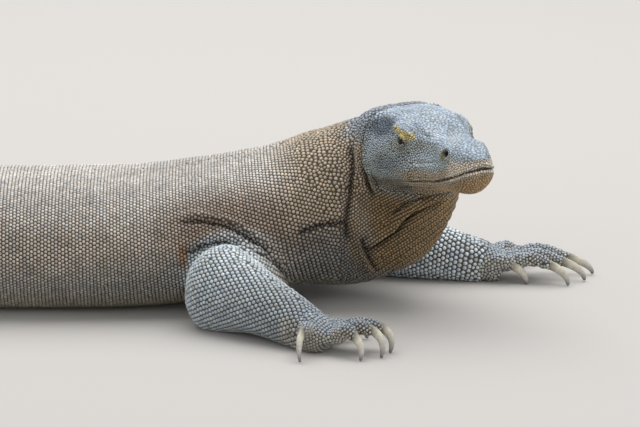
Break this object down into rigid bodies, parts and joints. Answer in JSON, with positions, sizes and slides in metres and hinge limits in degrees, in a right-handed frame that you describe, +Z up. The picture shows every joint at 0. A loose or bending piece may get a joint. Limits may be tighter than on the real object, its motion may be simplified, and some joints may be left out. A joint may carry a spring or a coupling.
{
  "type": "komodo dragon",
  "caption": "Life-size komodo dragon lying on its belly, head raised and turned to its right, one hand beside its chest and one stretched forward.",
  "frame": {"origin": "middle of the flat of the belly, on the floor", "axes": "+X along the trunk towards the head, +Y to the animal's left, +Z up"},
  "size_m": [2.4543, 0.804, 0.2569],
  "materials": {
    "scaly_skin": "matte beaded scales, pale grey and cream on a dark ground",
    "claw_horn": "satin horn, darker towards the back",
    "eye": "wet dark eye"
  },
  "bodies": {
    "root": {"head": "scaly_skin", "neck": "scaly_skin", "trunk": "scaly_skin", "tail_1": "scaly_skin", "tail_2": "scaly_skin", "tail_3": "scaly_skin", "tail_4": "scaly_skin", "fore_right_upper": "scaly_skin", "fore_right_lower": "scaly_skin", "fore_right_foot": "scaly_skin", "fore_left_upper": "scaly_skin", "fore_left_lower": "scaly_skin", "fore_left_foot": "scaly_skin", "hind_right_upper": "scaly_skin", "hind_right_lower": "scaly_skin", "hind_right_foot": "scaly_skin", "hind_left_upper": "scaly_skin", "hind_left_lower": "scaly_skin", "hind_left_foot": "scaly_skin", "eye_right": "eye", "eye_left": "eye", "claw_fore_right_1": "claw_horn", "claw_fore_right_2": "claw_horn", "claw_fore_right_3": "claw_horn", "claw_fore_right_4": "claw_horn", "claw_fore_right_5": "claw_horn", "claw_fore_left_1": "claw_horn", "claw_fore_left_2": "claw_horn", "claw_fore_left_3": "claw_horn", "claw_fore_left_4": "claw_horn", "claw_fore_left_5": "claw_horn", "claw_hind_right_1": "claw_horn", "claw_hind_right_2": "claw_horn", "claw_hind_right_3": "claw_horn", "claw_hind_right_4": "claw_horn", "claw_hind_right_5": "claw_horn", "claw_hind_left_1": "claw_horn", "claw_hind_left_2": "claw_horn", "claw_hind_left_3": "claw_horn", "claw_hind_left_4": "claw_horn", "claw_hind_left_5": "claw_horn"}
  },
  "joints": []
}
